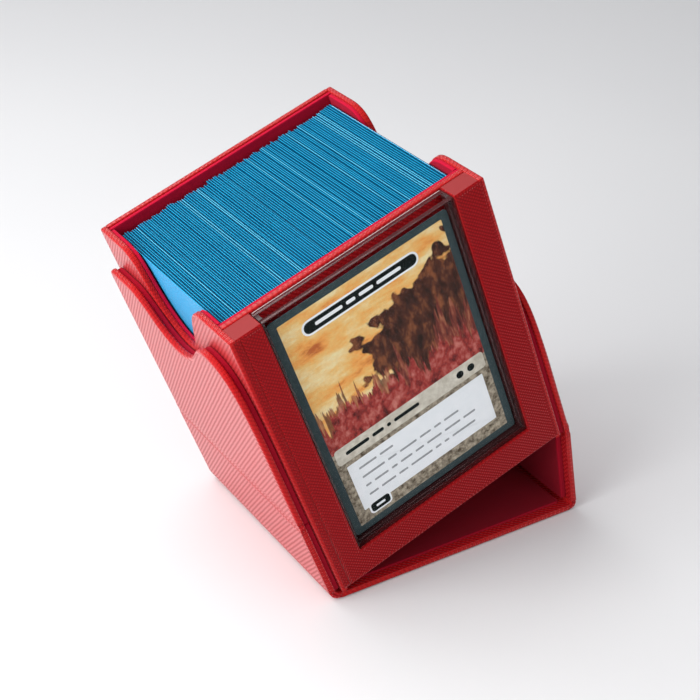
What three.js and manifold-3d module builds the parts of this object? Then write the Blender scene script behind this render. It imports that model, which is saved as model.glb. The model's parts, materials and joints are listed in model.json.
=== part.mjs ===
// Card deck box leaning in its folding magnetic cover.
//
// The deck box is an open-topped tray of covered board that holds sleeved cards on edge,
// with a clear card case in a display frame on its front. Its U-shaped cover has been taken
// off, turned over and folded into a stand: one wall creases inwards, so the box leans back.
// Millimetres, +Z up, +X to the right along the stand's floor, +Y from the front to the back.
import * as THREE from 'three';
import { mergeVertices } from 'three/addons/utils/BufferGeometryUtils.js';
import Module from 'manifold-3d';

const manifold = await Module();
manifold.setup();

// ---- driving dimensions ----
const GAP = 0.3;                  // running gap between separate pieces
const BOX = { width: 88, depth: 84.5, height: 105.4 };
const LEAN = 20;                  // degrees that the box leans in the folded stand
const BOARD = 2.0;                // covered board of the box and of the cover
const BOX_LINING = 0.9;
const STAND_LINING = 1.2;
const SIDE_ROOM = 0.5;            // room between the box and the cover's lining

const STAND_DEPTH = 80;
const STAND_FRONT = 0.5;          // the cover's front edge behind the display frame's face
const WALL_LUG = 96.4;            // cover wall from its floor edge to the front lug's top
const WALL_REAR = 94.8;           // and to the rear shoulder's top
const HINGE_GAP = 3.2;            // boards stop this short of a floor corner
const CREASE_GAP = 1.4;           // and this short of a crease
const HINGE_SKIN = 1.0;
const LINING_INSET = 3;           // lining steps back from the cover's rim
const FLOOR_LINING = { left: 8, right: 8 };

const FRAME = { depth: 7.4, stile: 10.65, rail: 10.8 };
const CASE = { front: 0.6, face: 1.8, rail: 1.25, top: 104.8 };
const CARD = { width: 63, height: 88, thickness: 0.6, bottom: 12.7 };

const DECK = { left: 5, right: 82.6, front: 14, back: 80, bottom: 11, height: 91 };
const GROUPS = ['left', 'middle', 'right'];
const PACKETS_PER_GROUP = 5;
const MAGNET = { radius: 5, thickness: 1.2, pocket: 1.5, room: 0.3, setback: 18 };

// ---- derived dimensions ----
const lean = THREE.MathUtils.degToRad(LEAN);
const STAND_WALL = BOARD + GAP + STAND_LINING;
const BOX_WALL = BOARD + GAP + BOX_LINING;
const SIDE = STAND_WALL + SIDE_ROOM;
const FLOOR_WIDTH = BOX.width + 2 * SIDE;
// The box's lower edge rests in the floor corner, one gap above the floor board.
const BOX_RISE = (BOARD + GAP - SIDE * Math.sin(lean)) / Math.cos(lean);
// The folded wall closes an isosceles triangle on the floor, with the lean as its apex.
const FOLD = 2 * FLOOR_WIDTH * Math.sin(lean / 2);
const STAND_BACK = STAND_FRONT + STAND_DEPTH;
const BOX_FRONT = FRAME.depth + GAP;
// The magnets meet at half height whichever way up the cover is fitted.
const MAGNET_HEIGHT = BOX.height / 2;

// ---- materials ----
const finish = (color, roughness, metalness = 0) =>
  new THREE.MeshStandardMaterial({ color, roughness, metalness });
const clear = finish(0xe8eef2, 0.1);
clear.transparent = true;
clear.opacity = 0.3;
const MATERIAL = {
  cover: finish(0xa01c20, 0.55),
  lining: finish(0xb01030, 0.95),
  magnet: finish(0xb8bbc0, 0.3, 1),
  clear,
  card: finish(0x8d6a48, 0.4),
  sleeve: finish(0x1c6c98, 0.35),
};

// ---- outlines: [y, z] points of a side wall, or [x, z] points of a front panel ----
const ARC_STEPS = 9;
const rectangle = (x0, z0, x1, z1) => [[x0, z0], [x1, z0], [x1, z1], [x0, z1]];

function traced(draw) {
  const path = new THREE.Path();
  draw(path);
  return path.getPoints(ARC_STEPS).map((p) => [p.x, p.y]);
}

// Side wall of the deck box: a thumb scoop with a short front lug and a long rear shoulder.
function boxSideOutline(front, back, bottom, top) {
  const scoop = { y: 44, z: top - 25.1 };
  const turn = { y: 60.3, z: top - 9.4 };
  return traced((path) => {
    path.moveTo(back, bottom);
    path.lineTo(back, top);
    path.lineTo(71, top);
    path.bezierCurveTo(64.5, top, 62.2, top - 2.9, turn.y, turn.z);
    path.bezierCurveTo(58, top - 17.4, 53, scoop.z, scoop.y, scoop.z);
    path.bezierCurveTo(32, scoop.z, 31, top, 17.5, top);
    path.lineTo(front, top);
    path.lineTo(front, bottom);
  });
}

// Upper wall of the cover: rounded front corner, front lug, scoop and rounded rear corner.
function coverWallOutline(bottom) {
  const scoop = { y: 42.5, z: WALL_REAR - 12.7 };
  const corner = 5;
  return traced((path) => {
    path.moveTo(STAND_BACK, bottom);
    path.lineTo(STAND_BACK, WALL_REAR - corner);
    path.quadraticCurveTo(STAND_BACK, WALL_REAR, STAND_BACK - corner, WALL_REAR);
    path.lineTo(67, WALL_REAR);
    path.bezierCurveTo(57, WALL_REAR, 55, scoop.z, scoop.y, scoop.z);
    path.bezierCurveTo(29, scoop.z, 25, WALL_LUG, 16, WALL_LUG);
    path.bezierCurveTo(1.5, WALL_LUG, 1.4, 84, STAND_FRONT, 66);
    path.lineTo(STAND_FRONT, bottom);
  });
}

// Moves every edge of a closed outline inwards by a distance.
function inset(points, distance) {
  const at = (i) => new THREE.Vector2(...points[(i + points.length) % points.length]);
  const turn = THREE.ShapeUtils.isClockWise(points.map(([x, y]) => ({ x, y }))) ? -1 : 1;
  const normal = (a, b) => new THREE.Vector2(a.y - b.y, b.x - a.x).normalize();
  return points.map((_, i) => {
    const before = normal(at(i - 1), at(i));
    const after = normal(at(i), at(i + 1));
    const middle = before.clone().add(after).normalize();
    const reach = (turn * distance) / Math.max(middle.dot(after), 0.5);
    return [at(i).x + middle.x * reach, at(i).y + middle.y * reach];
  });
}

// ---- solids ----
function extrude(points, depth) {
  const shape = new THREE.Shape(points.map(([x, y]) => new THREE.Vector2(x, y)));
  return new THREE.ExtrudeGeometry(shape, { depth, bevelEnabled: false });
}

const UNIT_X = new THREE.Vector3(1, 0, 0);
const UNIT_Y = new THREE.Vector3(0, 1, 0);
const UNIT_Z = new THREE.Vector3(0, 0, 1);

// A plate whose outline lies in the YZ plane and which is thick along X, from x0 to x1.
function sidePlate(points, x0, x1) {
  const geometry = extrude(points, x1 - x0);
  geometry.applyMatrix4(new THREE.Matrix4().makeBasis(UNIT_Y, UNIT_Z, UNIT_X));
  return geometry.translate(x0, 0, 0);
}

// A plate whose outline lies in the XZ plane and which is thick along Y, from y0 to y1.
function frontPlate(points, y0, y1) {
  const geometry = extrude(points, y1 - y0);
  geometry.applyMatrix4(new THREE.Matrix4().makeBasis(UNIT_X, UNIT_Z, UNIT_Y.clone().negate()));
  return geometry.translate(0, y1, 0);
}

function block([x0, x1], [y0, y1], [z0, z1]) {
  const geometry = new THREE.BoxGeometry(x1 - x0, y1 - y0, z1 - z0);
  return geometry.translate((x0 + x1) / 2, (y0 + y1) / 2, (z0 + z1) / 2);
}

// A disc on its side: axis along X, from x0 to x1.
function sideDisc(radius, x0, x1, y, z) {
  const geometry = new THREE.CylinderGeometry(radius, radius, x1 - x0, 24);
  return geometry.rotateZ(Math.PI / 2).translate((x0 + x1) / 2, y, z);
}

function toSolid(geometry) {
  const bare = geometry.clone();
  bare.deleteAttribute('normal');
  bare.deleteAttribute('uv');
  const merged = mergeVertices(bare);
  return new manifold.Manifold(new manifold.Mesh({
    numProp: 3,
    vertProperties: new Float32Array(merged.attributes.position.array),
    triVerts: new Uint32Array(merged.index.array),
  }));
}

function toGeometry(solid) {
  const mesh = solid.getMesh();
  const geometry = new THREE.BufferGeometry();
  geometry.setAttribute('position', new THREE.BufferAttribute(mesh.vertProperties, 3));
  geometry.setIndex(new THREE.BufferAttribute(mesh.triVerts, 1));
  geometry.computeVertexNormals();
  return geometry;
}

const cut = (geometry, ...tools) =>
  toGeometry(tools.map(toSolid).reduce((rest, tool) => rest.subtract(tool), toSolid(geometry)));

function place(group, name, geometry, material) {
  const mesh = new THREE.Mesh(geometry, material);
  mesh.name = name;
  group.add(mesh);
}

// ---- frames: the whole part, the leaning frame and the folded flap's frame ----
const deckBoxInStand = new THREE.Group();
const stand = new THREE.Group();
const leaning = new THREE.Group();      // origin at the floor's left edge, +Z up the box
const flap = new THREE.Group();         // origin at the floor's right edge, +Z up the flap
const box = new THREE.Group();          // origin at the deck box's lower left front corner
leaning.rotation.y = -lean;
flap.position.x = FLOOR_WIDTH;
flap.rotation.y = -lean / 2;
box.position.set(SIDE, 0, BOX_RISE);
leaning.add(box);
stand.add(leaning, flap);
deckBoxInStand.add(stand);

// ---- magnets: a pocket and a disc in the face of a board ----
const MAGNET_PLACES = {
  front: STAND_FRONT + MAGNET.setback,
  rear: STAND_BACK - MAGNET.setback,
};

// openX is the pocket's open face and inward points from it into the board.
function boardWithMagnets(group, name, board, openX, inward, z) {
  const pocketRadius = MAGNET.radius + MAGNET.room;
  const disc = (radius, from, to, y) =>
    sideDisc(radius, Math.min(from, to), Math.max(from, to), y, z);
  const pockets = Object.values(MAGNET_PLACES).map((y) =>
    disc(pocketRadius, openX - inward, openX + inward * MAGNET.pocket, y));
  place(group, `${name}_board`, cut(board, ...pockets), MATERIAL.cover);
  for (const [where, y] of Object.entries(MAGNET_PLACES)) {
    const magnet = disc(MAGNET.radius, openX, openX + inward * MAGNET.thickness, y);
    place(group, `${name}_magnet_${where}`, magnet, MATERIAL.magnet);
  }
}

// ---- stand: floor, a straight left wall and a folded right wall ----
function buildStandFloor() {
  const depth = [STAND_FRONT, STAND_BACK];
  const lined = [STAND_FRONT + LINING_INSET, STAND_BACK - LINING_INSET];
  const run = [HINGE_GAP, FLOOR_WIDTH - HINGE_GAP];
  const linedRun = [FLOOR_LINING.left, FLOOR_WIDTH - FLOOR_LINING.right];
  place(stand, 'stand_floor_board', block(run, depth, [0, BOARD]), MATERIAL.cover);
  const liningZ = [BOARD + GAP, STAND_WALL];
  place(stand, 'stand_floor_lining', block(linedRun, lined, liningZ), MATERIAL.lining);
}

const LOWER_START = 6;     // the lower linings stop this short of the floor corners
const lowerBoard = () => rectangle(STAND_FRONT, HINGE_GAP, STAND_BACK, FOLD - CREASE_GAP);
const lowerLining = () => rectangle(STAND_FRONT + LINING_INSET, LOWER_START,
  STAND_BACK - LINING_INSET, FOLD - LINING_INSET);
const upperLining = () => inset(coverWallOutline(FOLD), LINING_INSET);

function buildLeftWall() {
  const linedX = [BOARD + GAP, STAND_WALL];
  place(leaning, 'left_wall_lower_board', sidePlate(lowerBoard(), 0, BOARD), MATERIAL.cover);
  place(leaning, 'left_wall_lower_lining', sidePlate(lowerLining(), ...linedX), MATERIAL.lining);
  const upper = sidePlate(coverWallOutline(FOLD + CREASE_GAP), 0, BOARD);
  boardWithMagnets(leaning, 'left_wall_upper', upper, BOARD, -1, BOX_RISE + MAGNET_HEIGHT);
  place(leaning, 'left_wall_upper_lining', sidePlate(upperLining(), ...linedX), MATERIAL.lining);
}

function buildRightWall() {
  place(flap, 'right_flap_board', sidePlate(lowerBoard(), -BOARD, 0), MATERIAL.cover);
  const linedX = [-STAND_WALL, -BOARD - GAP];
  place(flap, 'right_flap_lining', sidePlate(lowerLining(), ...linedX), MATERIAL.lining);
  const folded = new THREE.Group();     // the wall above the crease, lower by the fold's length
  folded.position.set(FLOOR_WIDTH, 0, -FOLD);
  leaning.add(folded);
  const upper = sidePlate(coverWallOutline(FOLD + CREASE_GAP), -BOARD, 0);
  boardWithMagnets(folded, 'right_wall_upper', upper, -BOARD, 1, BOX_RISE + MAGNET_HEIGHT);
  place(folded, 'right_wall_upper_lining', sidePlate(upperLining(), ...linedX), MATERIAL.lining);
}

// The cover's skin where it bends from one board to the next, round a corner point. before and
// after point from the corner along the two boards; side is 1 where the cover's inside lies
// anticlockwise of before, and -1 where it lies clockwise.
function hingeStrip(name, corner, before, after, side, reach) {
  const normals = {
    before: [-side * before[1], side * before[0]],
    after: [side * after[1], -side * after[0]],
  };
  const point = (direction, distance, normal, depth) =>
    corner.map((c, k) => c + direction[k] * distance + normal[k] * depth);
  const stations = [
    [before, reach, normals.before], [before, reach / 2, normals.before],
    [after, reach / 2, normals.after], [after, reach, normals.after],
  ];
  const outer = stations.map((station) => point(...station, 0));
  const inner = stations.map((station) => point(...station, HINGE_SKIN)).reverse();
  place(stand, name, frontPlate([...outer, ...inner], STAND_FRONT, STAND_BACK), MATERIAL.cover);
}

function buildHinges() {
  const upBox = [-Math.sin(lean), Math.cos(lean)];
  const upFlap = [-Math.sin(lean / 2), Math.cos(lean / 2)];
  const down = ([x, z]) => [-x, -z];
  const leftCrease = upBox.map((v) => v * FOLD);
  const rightCrease = [FLOOR_WIDTH + upFlap[0] * FOLD, upFlap[1] * FOLD];
  const corner = HINGE_GAP - GAP;
  const crease = CREASE_GAP - GAP;
  hingeStrip('left_floor_hinge', [0, 0], [1, 0], upBox, 1, corner);
  hingeStrip('right_floor_hinge', [FLOOR_WIDTH, 0], [-1, 0], upFlap, -1, corner);
  hingeStrip('left_crease_hinge', leftCrease, down(upBox), upBox, 1, crease);
  hingeStrip('right_crease_hinge', rightCrease, down(upFlap), upBox, -1, crease);
}

// ---- deck box: tray of covered boards with linings and a raised pad ----
function buildTray() {
  const { width, depth, height } = BOX;
  const floorTop = BOARD + GAP;
  const sideX = { left: [0, BOARD], right: [width - BOARD, width] };
  place(box, 'box_floor_board', block([0, width], [BOX_FRONT, depth], [0, BOARD]), MATERIAL.cover);
  const sideOutline = boxSideOutline(BOX_FRONT, depth, floorTop, height);
  const left = sidePlate(sideOutline, ...sideX.left);
  boardWithMagnets(box, 'box_left', left, BOARD, -1, MAGNET_HEIGHT);
  const right = sidePlate(sideOutline, ...sideX.right);
  boardWithMagnets(box, 'box_right', right, width - BOARD, 1, MAGNET_HEIGHT);

  const across = [BOARD + GAP, width - BOARD - GAP];
  const up = [floorTop, height];
  const front = [BOX_FRONT, BOX_FRONT + BOARD];
  const back = [depth - BOARD, depth];
  place(box, 'box_front_board', block(across, front, up), MATERIAL.cover);
  place(box, 'box_back_board', block(across, back, up), MATERIAL.cover);

  const lip = 1.2;                       // linings stop this far under the rim
  const inFront = front[1] + GAP;
  const inBack = back[0] - GAP;
  const linedUp = [floorTop, height - lip];
  place(box, 'box_front_lining',
    block(across, [inFront, inFront + BOX_LINING], linedUp), MATERIAL.lining);
  place(box, 'box_back_lining',
    block(across, [inBack - BOX_LINING, inBack], linedUp), MATERIAL.lining);
  const inner = [inFront + BOX_LINING + GAP, inBack - BOX_LINING - GAP];
  const liningOutline = boxSideOutline(...inner, floorTop, height - lip);
  place(box, 'box_left_lining',
    sidePlate(liningOutline, across[0], BOX_WALL), MATERIAL.lining);
  place(box, 'box_right_lining',
    sidePlate(liningOutline, width - BOX_WALL, across[1]), MATERIAL.lining);
  place(box, 'box_floor_pad',
    block([BOX_WALL + GAP, width - BOX_WALL - GAP], inner, [floorTop, DECK.bottom - GAP]),
    MATERIAL.lining);
}

// ---- display frame: U-shaped board on spacers, open at the top for the clear case ----
function buildDisplayFrame() {
  const { width, height } = BOX;
  const window = [FRAME.stile, width - FRAME.stile];
  const outline = [
    [0, 0], [width, 0], [width, height], [window[1], height],
    [window[1], FRAME.rail], [window[0], FRAME.rail], [window[0], height], [0, height],
  ];
  place(box, 'display_frame', frontPlate(outline, 0, BOARD), MATERIAL.cover);
  const deep = [BOARD + GAP, FRAME.depth];
  const up = [0, height];
  place(box, 'display_spacer_left', block([0, window[0]], deep, up), MATERIAL.cover);
  place(box, 'display_spacer_right', block([window[1], width], deep, up), MATERIAL.cover);
  const between = [window[0] + GAP, window[1] - GAP];
  place(box, 'display_sill', block(between, deep, [0, FRAME.rail]), MATERIAL.cover);
}

// ---- clear card case: front window, back plate and rails, open at the top for the card ----
function buildCardCase() {
  const across = [FRAME.stile + GAP, BOX.width - FRAME.stile - GAP];
  const up = [FRAME.rail + GAP, CASE.top];
  const frontY = [CASE.front, CASE.front + CASE.face];
  const backY = [FRAME.depth - GAP - CASE.face, FRAME.depth - GAP];
  const railY = [frontY[1] + GAP, backY[0] - GAP];
  place(box, 'case_front_window', block(across, frontY, up), MATERIAL.clear);
  place(box, 'case_back_plate', block(across, backY, up), MATERIAL.clear);
  const leftRail = [across[0], across[0] + CASE.rail];
  const rightRail = [across[1] - CASE.rail, across[1]];
  const bottomRail = [leftRail[1] + GAP, rightRail[0] - GAP];
  place(box, 'case_rail_left', block(leftRail, railY, up), MATERIAL.clear);
  place(box, 'case_rail_right', block(rightRail, railY, up), MATERIAL.clear);
  place(box, 'case_rail_bottom',
    block(bottomRail, railY, [up[0], CARD.bottom - GAP]), MATERIAL.clear);

  const middle = BOX.width / 2;
  const cardY = (railY[0] + railY[1] - CARD.thickness) / 2;
  place(box, 'display_card', block([middle - CARD.width / 2, middle + CARD.width / 2],
    [cardY, cardY + CARD.thickness], [CARD.bottom, CARD.bottom + CARD.height]), MATERIAL.card);
}

// ---- deck: sleeved cards on edge, in packets that stand a little unevenly ----
function buildDeck() {
  const count = GROUPS.length * PACKETS_PER_GROUP;
  const pitch = (DECK.right - DECK.left) / count;
  const unevenness = { height: 0.7, depth: 0.6 };
  for (let i = 0; i < count; i += 1) {
    const group = GROUPS[Math.floor(i / PACKETS_PER_GROUP)];
    const number = (i % PACKETS_PER_GROUP) + 1;
    const x = DECK.left + i * pitch;
    const top = DECK.bottom + DECK.height + unevenness.height * Math.sin(i * 2.4);
    const back = DECK.back - unevenness.depth * (1 + Math.sin(i * 1.7));
    place(box, `cards_${group}_${number}`,
      block([x, x + pitch - GAP], [DECK.front, back], [DECK.bottom, top]), MATERIAL.sleeve);
  }
}

buildStandFloor();
buildLeftWall();
buildRightWall();
buildHinges();
buildTray();
buildDisplayFrame();
buildCardCase();
buildDeck();

// The origin is the middle of the part's footprint, on the surface that it stands on.
deckBoxInStand.updateMatrixWorld(true);
const extent = new THREE.Box3().setFromObject(stand, true);
const centre = extent.getCenter(new THREE.Vector3());
stand.position.set(-centre.x, -centre.y, -extent.min.z);

export default deckBoxInStand;
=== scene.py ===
"""Looks of the card deck box: covered boards with a woven emboss, microfibre linings, a clear
card case, a generic display card and a hundred sleeved cards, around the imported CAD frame.

Local sizes are in millimetres in the object's own leaning frames; Place turns them into metres."""
import json
import math

import bpy
import numpy as np
from mathutils import Matrix, Vector


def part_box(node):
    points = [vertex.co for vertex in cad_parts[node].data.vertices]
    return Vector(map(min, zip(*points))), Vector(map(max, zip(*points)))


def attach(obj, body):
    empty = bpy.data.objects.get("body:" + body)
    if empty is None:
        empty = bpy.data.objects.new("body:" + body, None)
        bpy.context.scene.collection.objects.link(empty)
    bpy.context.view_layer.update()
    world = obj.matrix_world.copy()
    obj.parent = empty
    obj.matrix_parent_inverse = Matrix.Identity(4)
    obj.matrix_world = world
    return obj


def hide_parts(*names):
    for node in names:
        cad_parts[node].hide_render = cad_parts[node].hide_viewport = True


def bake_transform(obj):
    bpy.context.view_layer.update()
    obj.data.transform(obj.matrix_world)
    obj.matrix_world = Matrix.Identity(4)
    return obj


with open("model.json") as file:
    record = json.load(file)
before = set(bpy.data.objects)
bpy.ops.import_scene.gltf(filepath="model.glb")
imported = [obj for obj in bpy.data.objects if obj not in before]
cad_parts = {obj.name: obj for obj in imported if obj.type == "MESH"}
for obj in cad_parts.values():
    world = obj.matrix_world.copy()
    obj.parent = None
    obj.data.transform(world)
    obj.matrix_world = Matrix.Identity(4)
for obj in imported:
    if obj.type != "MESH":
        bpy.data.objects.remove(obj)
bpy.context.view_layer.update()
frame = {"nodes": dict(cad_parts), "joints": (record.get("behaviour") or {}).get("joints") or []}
MM = 0.001
rng = np.random.default_rng(7)

# ---- driving dimensions, in millimetres, as in the CAD model ----
BOX_W, BOX_D, BOX_H = 88.0, 84.5, 105.4
BOARD = 2.0
GAP = 0.3
BOX_WALL = 3.2
STAND_LINING = 1.2
STAND_WALL = BOARD + GAP + STAND_LINING
SIDE = STAND_WALL + 0.5
FLOOR_W = BOX_W + 2 * SIDE
STAND_FRONT, STAND_BACK = 0.5, 80.5
WALL_LUG, WALL_REAR = 96.4, 94.8
HINGE_GAP, CREASE_GAP = 3.2, 1.4
FRAME_D, STILE, RAIL = 7.4, 10.65, 10.8
INNER_FRONT, INNER_BACK = 11.2, 81.0
DECK_BOTTOM = 11.0
PAD_TOP = DECK_BOTTOM - GAP
CASE_TOP = 104.8
CARD_W, CARD_H, CARD_BOTTOM = 63.0, 88.0, 12.7


# ---- places: the frames that the pieces are drawn in ----
class Place:
    """A frame with +Y to the back and +Z along `up`; its sizes are millimetres."""

    def __init__(self, origin, up):
        self.origin = Vector(origin)
        self.ez = Vector(up).normalized()
        self.ey = Vector((0, 1, 0))
        self.ex = self.ey.cross(self.ez)

    def point(self, x, y, z):
        return self.origin + (self.ex * x + self.ey * y + self.ez * z) * MM

    def shifted(self, x, y, z):
        return Place(self.point(x, y, z), self.ez)

    def points(self, local):
        axes = np.array([self.ex, self.ey, self.ez])
        return np.array(self.origin) + (np.asarray(local, float) @ axes) * MM


JOINTS = {j["name"]: j for j in frame["joints"]}
FRONT_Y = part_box("display_frame")[0].y
left_edge = Vector(JOINTS["left_wall_fold"]["pos_m"])
right_edge = Vector(JOINTS["right_flap_fold"]["pos_m"])
right_crease = Vector(JOINTS["right_crease_fold"]["pos_m"])
BOX_UP = Vector(JOINTS["deck_box_lift"]["axis"]).normalized()
LEAN = math.acos(BOX_UP.z)
FOLD = (right_crease - right_edge).length / MM
BOX_RISE = (BOARD + GAP - SIDE * math.sin(LEAN)) / math.cos(LEAN)

GROUND = Place((left_edge.x, FRONT_Y, 0), (0, 0, 1))
LEANING = Place((left_edge.x, FRONT_Y, 0), BOX_UP)
FLAP = Place((right_edge.x, FRONT_Y, 0), right_crease - right_edge)
FOLDED = LEANING.shifted(FLOOR_W, 0, -FOLD)
BOX = LEANING.shifted(SIDE, 0, BOX_RISE)

# How an outline's two axes and a plate's thickness map to x, y, z.
SIDE_PLATE = (2, 0, 1)        # outline in y, z; thickness along x
FRONT_PLATE = (0, 2, 1)       # outline in x, z; thickness along y
FLOOR_PLATE = (0, 1, 2)       # outline in x, y; thickness along z


# ---- outlines ----
def bezier(p0, p1, p2, p3, steps=14):
    t = np.linspace(0, 1, steps + 1)[1:, None]
    p0, p1, p2, p3 = (np.array(p, float) for p in (p0, p1, p2, p3))
    return ((1 - t) ** 3 * p0 + 3 * (1 - t) ** 2 * t * p1
            + 3 * (1 - t) * t ** 2 * p2 + t ** 3 * p3).tolist()


def rectangle(x0, y0, x1, y1):
    return [(x0, y0), (x1, y0), (x1, y1), (x0, y1)]


def area2(points):
    """Twice the outline's area, negative if it runs clockwise."""
    p = np.array(points, float)
    q = np.roll(p, -1, 0)
    return float(np.sum(p[:, 0] * q[:, 1] - q[:, 0] * p[:, 1]))


def rounded(points, radius, steps=5):
    """The polygon with each corner turned into an arc; radius is one value or one per corner."""
    count = len(points)
    radii = [radius] * count if np.isscalar(radius) else radius
    out = []
    for i, r in enumerate(radii):
        corner = np.array(points[i], float)
        if r <= 0:
            out.append(tuple(corner))
            continue
        before = np.array(points[i - 1], float) - corner
        after = np.array(points[(i + 1) % count], float) - corner
        before /= np.linalg.norm(before)
        after /= np.linalg.norm(after)
        half = math.acos(np.clip(before @ after, -1, 1)) / 2
        start, end = corner + before * r / math.tan(half), corner + after * r / math.tan(half)
        middle = (before + after) / np.linalg.norm(before + after)
        centre = corner + middle * r / math.sin(half)
        a, b = start - centre, end - centre
        sweep = math.acos(np.clip(a @ b / (r * r), -1, 1))
        for k in range(steps + 1):
            s = k / steps
            arc = (math.sin((1 - s) * sweep) * a + math.sin(s * sweep) * b) / math.sin(sweep)
            out.append(tuple(centre + arc))
    return out


def box_side_outline(front, back, bottom, top):
    """A side of the tray, with the thumb scoop in its top edge."""
    scoop, turn = (44, top - 25.1), (60.3, top - 9.4)
    points = [(front, bottom), (back, bottom), (back, top - 0.9)]
    points += bezier((back, top - 0.9), (back, top - 0.3), (back - 0.3, top), (back - 0.9, top), 4)
    points += [(78, top), (71, top)]
    points += bezier((71, top), (64.5, top), (62.2, top - 2.9), turn)
    points += bezier(turn, (58, top - 17.4), (53, scoop[1]), scoop)
    points += bezier(scoop, (32, scoop[1]), (31, top), (17.5, top), 20)
    points += [(14, top), (front, top)]
    return points


def cover_wall_outline(bottom, foot):
    """A cover wall above its crease: straight edges for `foot`, then the lug and the scoop."""
    scoop = (42.5, WALL_REAR - 12.7)
    points = [(STAND_FRONT, bottom), (STAND_BACK, bottom), (STAND_BACK, bottom + foot)]
    points += [(STAND_BACK, WALL_REAR - 6)]
    corner = (STAND_BACK, WALL_REAR)
    points += bezier((STAND_BACK, WALL_REAR - 5), corner, corner, (STAND_BACK - 5, WALL_REAR), 8)
    points += [(72, WALL_REAR)]
    points += bezier((67, WALL_REAR), (57, WALL_REAR), (55, scoop[1]), scoop, 20)
    points += bezier(scoop, (29, scoop[1]), (25, WALL_LUG), (16, WALL_LUG), 20)
    points += bezier((16, WALL_LUG), (1.5, WALL_LUG), (1.4, 84), (STAND_FRONT, 66), 20)
    points += [(STAND_FRONT, bottom + foot)]
    return points


# ---- shapes: lists of points, faces, weave coordinates and rim wear ----
class Shape:
    """A mesh under construction, in the millimetres of one Place."""

    def __init__(self):
        self.points, self.faces, self.uvs, self.marks, self.rim = [], [], [], [], []

    def add(self, points, faces, uvs, marks, rim=None, flip=False):
        base = len(self.points)
        step = -1 if flip else 1
        self.points += [tuple(p) for p in points]
        self.faces += [tuple(base + i for i in f)[::step] for f in faces]
        self.uvs += [list(uv)[::step] for uv in uvs]
        self.marks += marks
        self.rim += list(rim) if rim is not None else [0.0] * len(points)
        return self

    def slab(self, outline, low, high, plate, r_low=0.3, r_high=0.3, soft=None, mark=0,
             high_mark=None, edge_mark=None, wall_uv=None):
        """A plate with rounded edges from its outline. soft scales the rounding at each point;
        mark is the material's index, which high_mark and edge_mark change for the high half and
        the edge; wall_uv, (start, direction), lays the weave of a long edge by its length."""
        p = np.array(outline, float)
        factor = np.ones(len(p)) if soft is None else np.array(soft, float)
        if area2(outline) < 0:
            p, factor = p[::-1], factor[::-1]
        inward = inward_normals(p)
        rings = slab_rings(low, high, r_low, r_high)
        count = len(p)
        points, flat = [], []
        for inset_by, height, unrolled, _, arc in rings:
            face = high if height > (low + high) / 2 else low
            share = factor if arc else np.ones(count)
            xy = p + inward * (inset_by * share)[:, None]
            z = face + (height - face) * share
            points += [arranged(a, b, h, plate) for (a, b), h in zip(xy, z)]
            flat.append(p + inward * unrolled)
        length = np.concatenate([[0], np.cumsum(np.linalg.norm(np.roll(p, -1, 0) - p, axis=1))])
        faces, uvs, marks = [], [], []
        top_mark = mark if high_mark is None else high_mark
        for k in range(len(rings) - 1):
            on_edge = rings[k][3] > 0 and rings[k + 1][3] > 0
            if on_edge:
                chosen = mark if edge_mark is None else edge_mark
            else:
                chosen = mark if k < len(rings) // 2 else top_mark
            for i in range(count):
                j = (i + 1) % count
                faces.append((k * count + i, k * count + j, (k + 1) * count + j,
                              (k + 1) * count + i))
                marks.append(chosen)
                if wall_uv is None:
                    uvs.append([flat[k][i], flat[k][j], flat[k + 1][j], flat[k + 1][i]])
                else:
                    a, b = (wall_uv[0] + wall_uv[1] * length[n] for n in (i, i + 1))
                    lo, hi = rings[k][1], rings[k + 1][1]
                    uvs.append([(lo, a), (lo, b), (hi, b), (hi, a)])
        last = (len(rings) - 1) * count
        faces.append(tuple(range(count))[::-1])
        uvs.append([tuple(q) for q in (p + inward * rings[0][0])[::-1]])
        faces.append(tuple(range(last, last + count)))
        uvs.append([tuple(q) for q in flat[-1]])
        marks += [mark, top_mark]
        rim = [ring[3] for ring in rings for _ in range(count)]
        return self.add(points, faces, uvs, marks, rim, flip=plate == FRONT_PLATE)

    def brick(self, lo, hi, mark=0):
        """A plain box for thin layers such as one card."""
        (x0, y0, z0), (x1, y1, z1) = lo, hi
        points = [(x, y, z) for z in (z0, z1) for y in (y0, y1) for x in (x0, x1)]
        faces = [(0, 2, 3, 1), (4, 5, 7, 6), (0, 1, 5, 4), (2, 6, 7, 3), (0, 4, 6, 2), (1, 3, 7, 5)]
        flats = [(0, 1), (0, 1), (0, 2), (0, 2), (1, 2), (1, 2)]
        uvs = [[(points[i][a], points[i][b]) for i in f] for f, (a, b) in zip(faces, flats)]
        return self.add(points, faces, uvs, [mark] * len(faces))

    def build(self, name, place, materials, body=None, smooth=35.0):
        """The object in the scene, riding on the body if one is given."""
        mesh = bpy.data.meshes.new(name)
        mesh.from_pydata([tuple(q) for q in place.points(self.points)], [], self.faces)
        layer = mesh.uv_layers.new(name="Weave")
        layer.data.foreach_set("uv", np.array([c for f in self.uvs for c in f], float).ravel())
        wear_and_highlight = mesh.attributes.new("rim", "FLOAT", "POINT")
        wear_and_highlight.data.foreach_set("value", np.array(self.rim, float))
        mesh.polygons.foreach_set("material_index", self.marks)
        for material in materials:
            mesh.materials.append(material)
        mesh.validate()
        mesh.shade_smooth()
        mesh.set_sharp_from_angle(angle=math.radians(smooth))
        piece = bpy.data.objects.new(name, mesh)
        bpy.context.scene.collection.objects.link(piece)
        if body:
            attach(piece, body)
        return piece


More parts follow.
